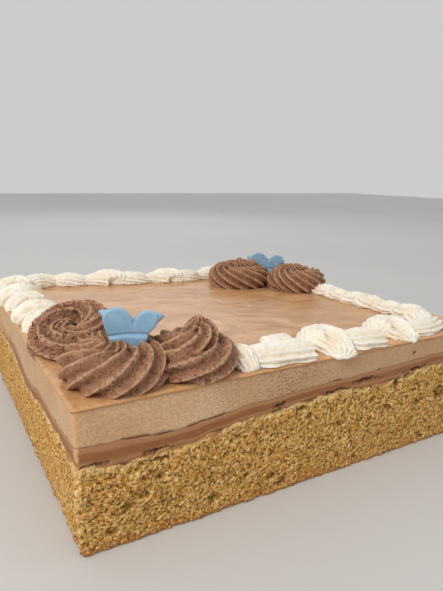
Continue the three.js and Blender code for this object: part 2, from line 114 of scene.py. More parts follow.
# White cream border: runs of piped pieces, each with its edge, kind, length, fullness and lean
CREAM_RUNS = [
    dict(
        path=[(61.4, 11), (100, 10), (150, 10), (172, 12), (184, 24), (185, 60), (185.5, 110)],
        pieces=[
            ("front", "ribs", 10.2, 0.93, 0), ("front", "hood", 23.4, 1, 0), ("front", "swirl", 24, 1.04, 3.5),
            ("front", "flat", 14.4, 1, 0), ("front", "swirl", 23, 0.96, 1.5), ("front", "flat", 20.6, 0.8, 0),
            ("right", "ruffle", 23.6, 1, 0), ("right", "ruffle", 17, 0.97, 0), ("right", "ruffle", 20, 1, 0),
            ("right", "ruffle", 17, 0.95, 0), ("right", "ruffle", 18, 0.96, 0),
        ],
    ),
    dict(
        path=[(192, 177), (160, 177), (130, 171), (100, 170.5), (60, 173), (28, 176), (16, 164), (15, 130),
              (17, 76)],
        pieces=[
            ("back", "shell", 21, 0.98, 0), ("back", "lens", 19, 0.98, 0), ("back", "shell", 21, 1, 0),
            ("back", "lens", 18, 1, 0), ("back", "shell", 21, 1.02, 0), ("back", "lens", 19, 1.02, 0),
            ("back", "shell", 21, 1.05, 0), ("back", "lens", 17, 1.02, 0), ("left", "lens", 21, 1.04, 0),
            ("left", "across", 19, 0.98, 0), ("left", "across", 20, 1.06, 2), ("left", "across", 18, 0.96, 0.5),
            ("left", "across", 20, 1.05, 2), ("left", "across", 18, 0.98, 1),
        ],
    ),
]
CREAM_LIFT = 0.8
RUFFLE_PERIOD = 13.0
CREAM_SAG = 0.42

# How each kind of piece is piped: ridges round the rope, and how far it is pressed flat
CREAM_KINDS = {
    "ribs": (16, 1.1), "hood": (13, 0.66), "flat": (13, 0.66), "swirl": (16, 0.8), "shell": (14, 0.78),
    "lens": (16, 0.7), "across": (13, 0.74), "ruffle": (12, 0.72),
}

# Sugar-paste butterflies
BUTTERFLIES = [
    dict(name="butterfly_front", x=25.8, y=15.6, foot=10.8, facing=-112, lean=12, spread=34, size=1),
    dict(name="butterfly_back", x=167, y=137, foot=5.2, facing=-122, lean=14, spread=40, size=1.14),
]
PASTE_THICKNESS = 2.1
WING_SPAN = 18.6
WING_HEIGHT = 9.6
WING_FOOT = 5.2
BEHIND_WIDER = 1.24
BEHIND_LOWER = 0.96

# How fine a skin is when strands or plates of paste are run together
CREAM_VOXEL = 0.36
WING_VOXEL = 0.22
BUTTERFLY_VOXEL = 0.24

# The photograph's view: where the camera stands, its right, up and ahead, its lens and its shift
CAMERA_PLACE = (-131.1, -235.5, 123.45)
CAMERA_AXES = ((0.86372, -0.50358, 0.01967), (0.14973, 0.29368, 0.94410), (0.48121, 0.81250, -0.32906))
CAMERA_LENS = 30.70
CAMERA_SHIFT = 0.0922
FLOOR_REACH = 3000.0

# Kinds of node that are added often
MATH, VECTOR, RANGE, MIX = "ShaderNodeMath", "ShaderNodeVectorMath", "ShaderNodeMapRange", "ShaderNodeMix"
NOISE, CELLS, RAMP, BUMP = "ShaderNodeTexNoise", "ShaderNodeTexVoronoi", "ShaderNodeValToRGB", "ShaderNodeBump"
SPLIT, JOIN, MARK = "ShaderNodeSeparateXYZ", "ShaderNodeCombineXYZ", "ShaderNodeAttribute"
STORED, STORE = "GeometryNodeInputNamedAttribute", "GeometryNodeStoreNamedAttribute"
MOVE, REAL = "GeometryNodeSetPosition", "GeometryNodeRealizeInstances"

# What the relief of a surface takes, in millimetres, and the kinds of the inputs that aren't plain numbers
# The last two sizes only set how low or how high a place must lie to take full painted shade or painted highlight.
RELIEF_SIZES = ("Grain", "Grain depth", "Lump", "Lump depth", "Hollow", "Hollow depth", "Painted shade depth", "Painted highlight height")
INPUT_KINDS = {"Ridges": "NodeSocketInt", "Smoothing": "NodeSocketInt", "Material": "NodeSocketMaterial"}


# ---------------------------------------------------------------- helpers

def srgb(code):
    """The linear colour of an sRGB hex value."""
    shades = [int(code[i:i + 2], 16) / 255 for i in (0, 2, 4)]
    linear = [c / 12.92 if c <= 0.04045 else ((c + 0.055) / 1.055) ** 2.4 for c in shades]
    return (*linear, 1.0)


def add(tree, kind, inputs=(), out=None, stops=(), **settings):
    """Adds a node and returns one of its outputs: the one named, or else the first in use.

    inputs says what goes into its sockets, in order or by name: a value, or an output that feeds it.
    stops are a ramp's places and colours, and settings the node's properties.
    """
    node = tree.nodes.new(kind)
    for name, value in settings.items():
        setattr(node, name, value)
    for socket, value in inputs.items() if isinstance(inputs, dict) else enumerate(inputs):
        if isinstance(value, bpy.types.NodeSocket):
            tree.links.new(value, node.inputs[socket])
        else:
            node.inputs[socket].default_value = value
    if stops:
        ramp = node.color_ramp
        while len(ramp.elements) < len(stops):
            ramp.elements.new(1)
        for element, (place, code) in zip(ramp.elements, stops):
            element.position = place
            element.color = srgb(code)
    return node.outputs[out] if out else next((o for o in node.outputs if o.enabled), None)


def glaze_height(x, y):
    """Height of the top, a little higher at its back left than at its back right."""
    across = x / SLAB_WIDTH
    return TOP_HEIGHT + (y / SLAB_DEPTH) * (BACK_LEFT_RISE * (1 - across) - BACK_RIGHT_FALL * across)


def placed(points):
    """Millimetres from the slab's corner to metres in the part's frame."""
    return (np.asarray(points, float) - (SLAB_WIDTH / 2, SLAB_DEPTH / 2, 0)) * MM


def add_object(name, data):
    """Puts new data in the scene as an object."""
    thing = bpy.data.objects.new(name, data)
    bpy.context.scene.collection.objects.link(thing)
    return thing


def mesh_object(name, points, faces=(), edges=(), material=None, smooth=True):
    """A mesh object from points in millimetres."""
    mesh = bpy.data.meshes.new(name)
    mesh.from_pydata(placed(points).tolist(), edges, faces)
    if smooth:
        mesh.shade_smooth()
    if material:
        mesh.materials.append(material)
    return add_object(name, mesh)


def give(piece, name, values):
    """Stores a number for each point of a mesh."""
    attribute = piece.data.attributes.new(name, "FLOAT", "POINT")
    attribute.data.foreach_set("value", np.asarray(values, np.float32))


def new_tree(name, *inputs):
    """A Geometry Nodes tree with named inputs. Returns it with the outputs of its input node."""
    tree = bpy.data.node_groups.new(name, "GeometryNodeTree")
    tree.interface.new_socket("Geometry", in_out="OUTPUT", socket_type="NodeSocketGeometry")
    tree.interface.new_socket("Geometry", in_out="INPUT", socket_type="NodeSocketGeometry")
    for size in (*inputs, "Material"):
        tree.interface.new_socket(size, in_out="INPUT", socket_type=INPUT_KINDS.get(size, "NodeSocketFloat"))
    return tree, add(tree, "NodeGroupInput").node.outputs


def finish_tree(tree, geometry, value):
    """Ends a tree: what it made becomes real, with the material that is given."""
    real = add(tree, REAL, [geometry])
    painted = add(tree, "GeometryNodeSetMaterial", {"Geometry": real, "Material": value["Material"]})
    add(tree, "NodeGroupOutput", [painted])
    return tree


def with_nodes(piece, tree, **values):
    """Puts a tree on a piece as a modifier and sets its inputs by their identifiers."""
    modifier = piece.modifiers.new(tree.name, "NODES")
    modifier.node_group = tree
    for item in tree.interface.items_tree:
        if item.in_out == "INPUT" and item.name in values:
            modifier[item.identifier] = values[item.name]


def merge(piece, voxel):
    """Runs the parts of a piece together into one closed skin."""
    remesh = piece.modifiers.new("skin", "REMESH")
    remesh.mode = "VOXEL"
    remesh.voxel_size = voxel * MM


def settle(piece):
    """Turns a piece and its modifiers into a plain mesh."""
    evaluated = piece.evaluated_get(bpy.context.evaluated_depsgraph_get())
    mesh = bpy.data.meshes.new_from_object(evaluated)
    piece.modifiers.clear()
    piece.data = mesh
    mesh.name = piece.name
    mesh.shade_smooth()


def roughen(piece, relief, material, sizes, share=0.0, flat=1.0, smoothing=6):
    """Gives a piece its relief, with the sizes that the relief takes, and turns it into a plain mesh."""
    values = {name: size * MM for name, size in zip(RELIEF_SIZES, sizes)}
    values.update({"Hollow share": share, "Flat": flat, "Smoothing": smoothing, "Material": material})
    with_nodes(piece, relief, **values)
    settle(piece)


def belongs(piece, slot, *nodes):
    """The piece rides on the cake, and the solids it stands for are hidden. The slot is not used."""
    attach(piece, "root")
    if nodes:
        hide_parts(*nodes)


# ---------------------------------------------------------------- camera, light and floor

def make_camera():
    """The photograph's view, from in front of the near left corner and a little above."""
    data = bpy.data.cameras.new("camera")
    data.lens = CAMERA_LENS
    data.sensor_width = 36.0
    data.shift_y = CAMERA_SHIFT
    data.clip_start = 0.01
    camera = add_object("camera", data)
    right, up, ahead = map(Vector, CAMERA_AXES)
    turn = Matrix((right, up, -ahead)).transposed().to_4x4()
    camera.matrix_world = Matrix.Translation(Vector(CAMERA_PLACE) * MM) @ turn
    bpy.context.scene.camera = camera


def soft_light(name, place, size, power, colour):
    """A square panel of light, in metres, that looks at the cake."""
    data = bpy.data.lights.new(name, "AREA")
    data.shape = "SQUARE"
    data.size = size
    data.energy = power
    data.color = srgb(colour)[:3]
    light = add_object(name, data)
    light.location = place
    light.rotation_euler = (-Vector(place)).to_track_quat("-Z", "Y").to_euler()


def make_studio():
    """A soft key light at the left, a weaker one behind, a pale surround and a pale floor."""
    soft_light("key", (-0.7, -0.42, 0.72), 0.45, 5.2, "fffaf3")
    soft_light("back", (0.35, 1.1, 0.8), 0.9, 2.0, "ffffff")
    world = bpy.data.worlds.new("studio")
    bpy.context.scene.world = world
    world.use_nodes = True
    sky = world.node_tree.nodes["Background"]
    sky.inputs["Color"].default_value = srgb("ffffff")
    sky.inputs["Strength"].default_value = 0.6
    bpy.context.scene.view_settings.view_transform = "Standard"
    corners = [(x * FLOOR_REACH, y * FLOOR_REACH, 0) for x, y in ((-1, -1), (1, -1), (1, 1), (-1, 1))]
    mesh_object("floor", corners, [(0, 1, 2, 3)], material=pale_board(), smooth=False)


# ---------------------------------------------------------------- materials

def new_material(name, **values):
    """A material with its shader's uniform values. Returns it with its tree and the place on the object."""
    material = bpy.data.materials.new(name)
    material.use_nodes = True
    tree = material.node_tree
    for socket, value in values.items():
        tree.nodes["Principled BSDF"].inputs[socket.replace("_", " ")].default_value = value
    return material, tree, add(tree, "ShaderNodeTexCoord", out="Object")


def cover(tree, colour, *covers):
    """Lays colours over a colour: each has a mark or a pattern that says where, a strength and a colour."""
    for where, strength, over in covers:
        if isinstance(where, str):
            where = add(tree, MARK, out="Fac", attribute_name=where)
        if strength < 1:
            where = add(tree, MATH, [where, strength], operation="MULTIPLY")
        over = srgb(over) if isinstance(over, str) else over
        colour = add(tree, MIX, {0: where, 6: colour, 7: over}, data_type="RGBA")
    return colour


def finish_material(material, colour, height=None, strength=0.0, depth=0.0):
    """Gives a material's shader its colour, and bumps whose depth is in millimetres. Returns the material."""
    tree = material.node_tree
    shader = tree.nodes["Principled BSDF"]
    tree.links.new(colour, shader.inputs["Base Color"])
    if height:
        bump = add(tree, BUMP, {"Height": height, "Strength": strength, "Distance": depth * MM})
        tree.links.new(bump, shader.inputs["Normal"])
    return material


def pale_board():
    """Painted board: matt and pale, with a barely uneven tone."""
    material, tree, place = new_material("painted_board", Roughness=0.7)
    tone = add(tree, NOISE, {"Vector": place, "Scale": 3.0, "Detail": 3.0})
    return finish_material(material, add(tree, RAMP, [tone], stops=[(0.3, "cfcecc"), (0.7, "d4d3d1")]))


def baked_sponge():
    """Baked sponge, cut: a dry matt crumb, deeper in colour in its pores with painted shade in them, painted shade in
    its pits and holes, painted highlights on its crests, and browned at the foot.
    """
    material, tree, place = new_material(
        "baked_sponge_crumb", Roughness=0.95, Specular_IOR_Level=0.2,
        Subsurface_Weight=0.15, Subsurface_Scale=1.5 * MM, Subsurface_Radius=(1.0, 0.6, 0.3))
    slow = add(tree, NOISE, {"Vector": place, "Scale": 1 / (14 * MM)})
    crumb = add(tree, NOISE, {"Vector": place, "Scale": 1 / (1.0 * MM), "Detail": 3.0, "Roughness": 0.65})
    pore = add(tree, NOISE, {"Vector": place, "Scale": 1 / (2.6 * MM), "Detail": 5.0, "Roughness": 0.8})
    grit = add(tree, NOISE, {"Vector": place, "Scale": 1 / (0.9 * MM), "Roughness": 0.6})
    body = add(tree, RAMP, [crumb], stops=[(0.32, "7c4d1a"), (0.43, "ba853c"), (0.54, "dbaa5c"), (0.66, "fbe0a8")])
    toast = add(tree, RAMP, [crumb], stops=[(0.32, "6b3f18"), (0.46, "a56a33"), (0.56, "c68d50"), (0.68, "e6bc88")])
    patch = add(tree, RANGE, [slow, 0.35, 0.65, 0.0, 0.3])
    gap = add(tree, RANGE, [pore, 0.38, 0.46, 0.95, 0.0])
    edge = add(tree, MATH, [slow, 9 * MM], operation="MULTIPLY")
    above_edge = add(tree, MATH, [add(tree, SPLIT, [place], "Z"), edge], operation="SUBTRACT")
    crust = add(tree, RANGE, [above_edge, -3.5 * MM, 0.0, 0.85, 0.0])
    # The crest mark is a painted highlight and the pit mark painted shade in hollows and holes; gap darkens the pores
    # partly in colour and partly as painted shade.
    colour = cover(tree, body, (patch, 1, "c28d48"), ("painted_highlight", 0.45, "f3d49a"), (gap, 1, "6a3f10"),
                   ("painted_shade", 0.8, "5a340c"), (crust, 1, toast), ("blot", 1, "7a4524"), ("stain", 1, "b98759"))
    return finish_material(material, colour, grit, 0.5, 0.9)


def loose_crumb():
    """Dry crumb from the sponge's browned foot: matt, golden to orange tan."""
    material, tree, place = new_material("loose_sponge_crumb", Roughness=0.95, Specular_IOR_Level=0.2)
    tone = add(tree, NOISE, {"Vector": place, "Scale": 1 / (1.2 * MM), "Detail": 3.0, "Roughness": 0.7})
    body = add(tree, RAMP, [tone], stops=[(0.32, "8e6228"), (0.45, "ba8940"), (0.56, "d3a557"), (0.68, "f0d296")])
    toast = add(tree, RAMP, [tone], stops=[(0.32, "78481f"), (0.45, "b07838"), (0.56, "d09c60"), (0.68, "e9c592")])
    foot = add(tree, RANGE, [add(tree, SPLIT, [place], "Z"), 1.5 * MM, 4 * MM, 1.0, 0.0])
    return finish_material(material, cover(tree, body, (foot, 1, toast)), tone, 0.7, 0.4)


def smear(tree, place):
    """Glaze that the knife dragged down over a cut face, where the smear mark says so: a cover in streaks."""
    drag = add(tree, "ShaderNodeMapping", {"Vector": place, "Scale": (1.0, 1.0, 0.1)})
    streak = add(tree, NOISE, {"Vector": drag, "Scale": 1 / (2.2 * MM), "Detail": 3.0})
    both = add(tree, MATH, [streak, add(tree, MARK, out="Fac", attribute_name="smear")], operation="ADD")
    return add(tree, RANGE, [both, 0.95, 1.15, 0.0, 0.85]), 1, "d6a878"


def caramel_spread():
    """Thick caramel and biscuit spread, dragged by the knife: soft sheen and faint level smears, with painted
    highlights on its crests and painted shade in its crevices and holes.
    """
    material, tree, place = new_material(
        "caramel_spread", Roughness=0.55, Specular_IOR_Level=0.35,
        Subsurface_Weight=0.2, Subsurface_Scale=1.5 * MM, Subsurface_Radius=(1.0, 0.5, 0.25))
    drag = add(tree, "ShaderNodeMapping", {"Vector": place, "Scale": (0.7, 0.7, 1.7)})
    level = add(tree, NOISE, {"Vector": drag, "Scale": 1 / (5 * MM), "Detail": 5.0, "Roughness": 0.6})
    tone = add(tree, RAMP, [level], stops=[(0.3, "905c34"), (0.48, "956036"), (0.62, "9a653a"), (0.78, "a67246")])
    # The crest mark is a painted highlight, and the pit mark is painted shade in the crevices and holes.
    colour = cover(tree, tone, ("painted_highlight", 0.35, "cf9f74"), ("painted_shade", 1, "4a2812"), smear(tree, place))
    grain = add(tree, NOISE, {"Vector": place, "Scale": 1 / (1.0 * MM), "Detail": 4.0})
    return finish_material(material, colour, grain, 0.3, 0.4)


def cut_mousse():
    """Set mousse, cut with a warm knife: smooth and matt, with pinprick air holes.

    The holes are drawn up to 0.7 mm across, coarser than they are, so that they show, and their darkness is painted
    shade. Painted shade also darkens the pits and cracks, and the cut faces away from the near left corner, where the
    light falls off.
    """
    material, tree, place = new_material(
        "set_mousse", Roughness=0.65, Specular_IOR_Level=0.3,
        Subsurface_Weight=0.3, Subsurface_Scale=2.5 * MM, Subsurface_Radius=(1.0, 0.7, 0.45))
    cloud = add(tree, NOISE, {"Vector": place, "Scale": 1 / (18 * MM), "Detail": 4.0})
    tone = add(tree, RAMP, [cloud], stops=[(0.3, "d3ab82"), (0.5, "dcb68f"), (0.7, "e5c29d")])
    fine = add(tree, NOISE, {"Vector": place, "Scale": 1 / (1.0 * MM), "Roughness": 0.6})
    grain = add(tree, RANGE, [fine, 0.35, 0.65, 0.5, 0.0])
    holes = add(tree, CELLS, {"Vector": place, "Scale": 1 / (0.85 * MM)})
    radius = add(tree, RANGE, [add(tree, MARK, out="Fac", attribute_name="airy"), 0.0, 1.0, 0.06, 0.4])
    within = add(tree, MATH, [holes, radius], operation="LESS_THAN")
    # Painted shade in the air holes, away from the near left corner and in the pits; the grain and the smear are the
    # mousse's own colour.
    colour = cover(tree, tone, (grain, 1, "a87c58"), (within, 0.85, "765036"), ("painted_falloff_shade", 1, "b08a64"),
                   ("painted_shade", 1, "553019"), smear(tree, place))
    depth = add(tree, MATH, [holes, radius], operation="MINIMUM")
    rough = add(tree, MATH, [fine, 0.12, depth], operation="MULTIPLY_ADD")
    return finish_material(material, colour, rough, 0.6, 0.8)


def set_glaze():
    """Thin set glaze, spread with a palette knife: glossy, with short drag marks and a tan rim."""
    material, tree, place = new_material(
        "set_caramel_glaze", Roughness=0.33, IOR=1.43, Coat_Weight=0.12, Coat_Roughness=0.2,
        Subsurface_Weight=0.2, Subsurface_Scale=2 * MM, Subsurface_Radius=(1.0, 0.6, 0.4))
    drag = add(tree, "ShaderNodeMapping", {"Vector": place, "Scale": (0.75, 1.0, 1.0), "Rotation": (0, 0, 0.35)})
    marks = add(tree, NOISE, {"Vector": drag, "Scale": 1 / (13 * MM), "Roughness": 0.45, "Distortion": 0.8})
    tone = add(tree, RAMP, [marks], stops=[(0.3, "bf8d5d"), (0.48, "cb9968"), (0.62, "d2a170"), (0.75, "dcb184")])
    patch = add(tree, NOISE, {"Vector": place, "Scale": 1 / (3.0 * MM), "Detail": 4.0, "Roughness": 0.6})
    thin = add(tree, RANGE, [patch, 0.46, 0.6, 0.0, 0.6])
    near_rim = add(tree, MATH, [thin, add(tree, MARK, out="Fac", attribute_name="rim")], operation="MULTIPLY")
    colour = cover(tree, tone, ("rim", 1, "d9aa79"), (near_rim, 1, "c48a58"), ("edge", 1, "bd8856"))
    return finish_material(material, colour, marks, 0.4, 4)


def chocolate_cream():
    """Whipped chocolate cream: matt, with pinholes of air darkened by painted shade, painted highlights on its crests
    and painted shade in its grooves.
    """
    material, tree, place = new_material(
        "whipped_chocolate_cream", Roughness=0.8, Specular_IOR_Level=0.25,
        Subsurface_Weight=0.12, Subsurface_Scale=1.0 * MM, Subsurface_Radius=(1.0, 0.6, 0.4))
    cloud = add(tree, NOISE, {"Vector": place, "Scale": 1 / (5 * MM), "Detail": 4.0})
    tone = add(tree, RAMP, [cloud], stops=[(0.3, "996c50"), (0.5, "a87b5e"), (0.7, "b6896d")])
    grain = add(tree, NOISE, {"Vector": place, "Scale": 1 / (0.8 * MM), "Roughness": 0.6})
    sandy = add(tree, RANGE, [grain, 0.36, 0.64, 0.55, 0.0])
    holes = add(tree, CELLS, {"Vector": place, "Scale": 1 / (1.6 * MM)})
    spread = add(tree, NOISE, {"Vector": place, "Scale": 1 / (4 * MM)})
    airy = add(tree, MARK, out="Fac", attribute_name="airy")
    chance = add(tree, MATH, [airy, 0.25, spread], operation="MULTIPLY_ADD")
    radius = add(tree, RANGE, [chance, 0.5, 0.75, 0.02, 0.25])
    within = add(tree, MATH, [holes, radius], operation="LESS_THAN")
    # The crest mark is a painted highlight, the pit mark and the pinholes are painted shade; sandy is the cream's own
    # grain.
    colour = cover(tree, tone, (sandy, 1, "74492f"), ("painted_highlight", 0.75, "c9a182"), ("painted_shade", 0.72, "502f1b"),
                   (within, 0.75, "3f2212"))
    depth = add(tree, MATH, [holes, radius], operation="MINIMUM")
    rough = add(tree, MATH, [grain, 0.3, depth], operation="MULTIPLY_ADD")
    return finish_material(material, colour, rough, 0.9, 1.1)


def white_cream():
    """Whipped cream: ivory white, soft satin, light that bleeds through its thin ridges, and painted shade in its
    grooves.
    """
    material, tree, place = new_material(
        "whipped_cream", Roughness=0.5, Specular_IOR_Level=0.35,
        Subsurface_Weight=0.35, Subsurface_Scale=2.5 * MM, Subsurface_Radius=(1.0, 0.8, 0.5))
    cloud = add(tree, NOISE, {"Vector": place, "Scale": 1 / (8 * MM), "Detail": 3.0})
    tone = add(tree, RAMP, [cloud], stops=[(0.3, "f6ebda"), (0.5, "faf2e4"), (0.7, "fcf6ec")])
    grain = add(tree, NOISE, {"Vector": place, "Scale": 1 / (1.4 * MM), "Detail": 3.0})
    # The pit mark tints the grooves with a painted shade.
    return finish_material(material, cover(tree, tone, ("painted_shade", 0.45, "dccbb0")), grain, 0.25, 0.4)


def sugar_paste():
    """Rolled sugar paste, coloured blue: smooth satin with a dusting of icing sugar."""
    material, tree, place = new_material(
        "rolled_sugar_paste", Roughness=0.42, Specular_IOR_Level=0.4,
        Subsurface_Weight=0.25, Subsurface_Scale=1.5 * MM, Subsurface_Radius=(0.6, 0.8, 1.0))
    dust = add(tree, NOISE, {"Vector": place, "Scale": 1 / (3 * MM), "Detail": 5.0})
    tone = add(tree, RAMP, [dust], stops=[(0.3, "88afcc"), (0.55, "92b8d4"), (0.75, "9cc0d9")])
    return finish_material(material, tone, dust, 0.15, 0.3)


# ---------------------------------------------------------------- relief on cut and piped surfaces

def relief_tree():
    """Moves a surface along its normals: fine grain, soft lumps, and hollows in cells picked by chance.

    Marks how low and how high each place lies, as painted shade in its hollows and painted highlights on its crests.
    Flat squeezes the pattern's height.
    """
    tree, value = new_tree("surface_relief", *RELIEF_SIZES, "Hollow share", "Flat", "Smoothing")
    place = add(tree, "GeometryNodeInputPosition")
    normal = add(tree, "GeometryNodeInputNormal")
    finer, coarse, wide = (add(tree, MATH, [1.0, value[size]], operation="DIVIDE")
                           for size in ("Grain", "Lump", "Hollow"))
    stretch = add(tree, JOIN, [1.0, 1.0, value["Flat"]])
    dragged = add(tree, VECTOR, [place, stretch], operation="MULTIPLY")
    grain = add(tree, NOISE, {"Vector": dragged, "Scale": finer, "Detail": 3.0, "Roughness": 0.6})
    grain_pit = add(tree, RANGE, [grain, 0.5, 0.3, 0.0, 1.0], interpolation_type="SMOOTHSTEP")
    lump = add(tree, MATH, [add(tree, NOISE, {"Vector": place, "Scale": coarse}), 0.5], operation="SUBTRACT")
    hollow = add(tree, CELLS, {"Vector": dragged, "Scale": wide})
    chance = add(tree, SPLIT, [hollow.node.outputs["Color"]])
    chosen = add(tree, MATH, [chance, value["Hollow share"]], operation="LESS_THAN")
    bowl = add(tree, RANGE, [hollow, 0.5, 0.25, 0.0, 1.0], interpolation_type="SMOOTHSTEP")
    hollowed = add(tree, MATH, [bowl, chosen], operation="MULTIPLY")
    by_grain, by_hollow, by_lump = (
        add(tree, MATH, [pattern, value[depth]], operation="MULTIPLY")
        for pattern, depth in ((grain_pit, "Grain depth"), (hollowed, "Hollow depth"), (lump, "Lump depth")))
    inward = add(tree, MATH, [by_grain, by_hollow], operation="ADD")
    moved = add(tree, MATH, [by_lump, inward], operation="SUBTRACT")
    free = add(tree, MATH, [1.0, add(tree, STORED, ["still"])], operation="SUBTRACT")
    amount = add(tree, MATH, [moved, free], operation="MULTIPLY")
    offset = add(tree, VECTOR, {0: normal, "Scale": amount}, operation="SCALE")
    shaped = add(tree, MOVE, {"Geometry": value["Geometry"], "Offset": offset})
    smoothed = add(tree, "GeometryNodeBlurAttribute", [place, value["Smoothing"]], data_type="FLOAT_VECTOR")
    above = add(tree, VECTOR, [place, smoothed], operation="SUBTRACT")
    rise = add(tree, VECTOR, [above, normal], operation="DOT_PRODUCT")
    # Painted shade where the surface lies below its smoothed self, painted highlight where it stands above it.
    low = add(tree, RANGE, [rise, 0.0, value["Painted shade depth"], 0.0, 1.0])
    painted_shade_mask = add(tree, MATH, [low, add(tree, STORED, ["painted_shade"])], operation="MAXIMUM")
    least = add(tree, MATH, [value["Painted highlight height"], 0.2], operation="MULTIPLY")
    high = add(tree, RANGE, [rise, least, value["Painted highlight height"], 0.0, 1.0])
    for mark, amount in (("painted_shade", painted_shade_mask), ("painted_highlight", high)):
        shaped = add(tree, STORE, {"Geometry": shaped, "Name": mark, "Value": amount})
    return finish_tree(tree, shaped, value)


# ---------------------------------------------------------------- the slab

def outline(spacing):
    """Places round the slab: point, outward direction and distance from the near left corner."""
    corners = np.array([(0, 0), (SLAB_WIDTH, 0), (SLAB_WIDTH, SLAB_DEPTH), (0, SLAB_DEPTH)], float)
    points, outward, travelled = [], [], []
    start = 0.0
    for side in range(4):
        here, there = corners[side], corners[(side + 1) % 4]
        length = np.linalg.norm(there - here)
        along = (there - here) / length
        out = np.array([along[1], -along[0]])
        centre = here + (along - out) * CORNER_RADIUS
        for step in range(CORNER_STEPS):
            share = step / CORNER_STEPS
            turn = (share - 1) * math.pi / 2
            way = np.array([out[0] * math.cos(turn) - out[1] * math.sin(turn),
                            out[0] * math.sin(turn) + out[1] * math.cos(turn)])
            points.append(centre + way * CORNER_RADIUS)
            outward.append(way)
            travelled.append(start + (2 * share - 1) * CORNER_RADIUS)
        straight = length - 2 * CORNER_RADIUS
        count = round(straight / spacing)
        for step in range(count):
            reach = CORNER_RADIUS + straight * step / count
            points.append(here + along * reach)
            outward.append(out)
            travelled.append(start + reach)
        start += length
    return np.array(points), np.array(outward), np.array(travelled) % start


def seam(line, travelled):
    """Height of a seam at a distance round the slab, eased between the marked heights."""
    at, height = np.array(line, float).T
    i = np.clip(np.searchsorted(at, travelled, side="right") - 1, 0, len(at) - 2)
    share = (travelled - at[i]) / (at[i + 1] - at[i])
    return height[i] + (height[i + 1] - height[i]) * share * share * (3 - 2 * share)


def uneven(places, octaves=3):
    """A soft noise at places, from about -1 to 1."""
    return np.array([noise.fractal(place, 1.0, 2.0, octaves) for place in places])


def wobble(points, size, seed, octaves=3):
    """A slow unevenness round the slab, the same at every height."""
    return uneven([(x / size, y / size, seed) for x, y, *_ in points], octaves)


def layer(name, spacing, rows, heights, push, hubs, material, insets=(), foot_still=False):
    """A closed layer of the slab, whose hubs close it below and above.

    heights gives its lower and upper edge, and push how far a row stands out. Returns it with the share
    of its height, the distance round the slab and the place of each of its points.
    """
    points, outward, travelled = outline(spacing)
    low, high = heights(points, travelled)
    rings, shares = [], []
    for row in range(rows + 1):
        share = row / rows
        reach = push(share, points, travelled)
        ring = points + outward * reach[:, None]
        rings.append(np.column_stack([ring, low + (high - low) * share]))
        shares.append(np.full(len(points), share))
    middle = np.array([SLAB_WIDTH / 2, SLAB_DEPTH / 2])
    for inset in insets:
        ring = points + (middle - points) * inset
        rings.append(np.column_stack([ring, glaze_height(ring[:, 0], ring[:, 1])]))
        shares.append(np.full(len(points), 1.0))
    count, last = len(points), len(rings) - 1
    everything = np.vstack(rings + [[(*middle, hubs[0])], [(*middle, hubs[1])]])
    i = np.arange(count)
    j = (i + 1) % count
    faces = []
    for ring in range(last):
        low_ring, high_ring = ring * count, (ring + 1) * count
        faces += np.column_stack([low_ring + i, low_ring + j, high_ring + j, high_ring + i]).tolist()
    hub = len(everything) - 2
    faces += np.column_stack([np.full(count, hub), j, i]).tolist()
    faces += np.column_stack([np.full(count, hub + 1), last * count + i, last * count + j]).tolist()
    piece = mesh_object(name, everything, faces, material=material)
    share = np.concatenate(shares + [[0.0, 1.0]])
    still = np.zeros(len(share))
    still[-2:] = 1
    give(piece, "still", np.maximum(still, share < 0.001) if foot_still else still)
    around = np.concatenate([np.tile(travelled, len(rings)), [0.0, 0.0]])
    return piece, share, around, everything


def sponge_top(points, travelled):
    return seam(SPONGE_TOP_LINE, travelled) + wobble(points, 9.0, 3.0) * 0.9 + wobble(points, 2.5, 8.0) * 0.35


def caramel_top(points, travelled):
    return seam(CARAMEL_TOP_LINE, travelled) + wobble(points, 14.0, 5.0) * 0.35


def mousse_top(points):
    return glaze_height(points[:, 0], points[:, 1]) - (RIM_THICKNESS + wobble(points, 10.0, 12.0) * 0.35)


def smears(around, places):
    """How much glaze has run down: along the upright near corner, and under the border at the back left."""
    reach = np.hypot(places[:, 0], places[:, 1])
    corner = np.clip(1.05 - reach / 2.0 + 0.9 * uneven(places / (2, 2, 2.5), 4), 0, 1)
    return np.maximum(corner, np.interp(around, [585, 600, 655, 705], [0, 0.57, 0.52, 0]))


def tear(piece, around, places, tears):
    """Opens ragged holes and cracks in a layer's cut faces. Returns how far inside one each point lies."""
    ragged = uneven(places / 1.6)
    inward = np.zeros((len(places), 3))
    side = np.searchsorted([SLAB_WIDTH, SLAB_WIDTH + SLAB_DEPTH, 2 * SLAB_WIDTH + SLAB_DEPTH], around)
    inward[:, :2] = np.array([(0, 1), (-1, 0), (0, -1), (1, 0)])[side]
    within, depth = np.zeros(len(places)), np.zeros(len(places))
    for at, height, long, tall, deep in tears:
        away = np.hypot((around - at) / long, (places[:, 2] - height) / tall)
        hole = np.clip(1.5 - away + 0.9 * ragged, 0, 1) * (away < 2)
        within = np.maximum(within, hole)
        depth = np.maximum(depth, hole * deep)
    depth[-2:] = 0
    piece.data.vertices.foreach_set("co", placed(places + inward * depth[:, None]).ravel())
    return within


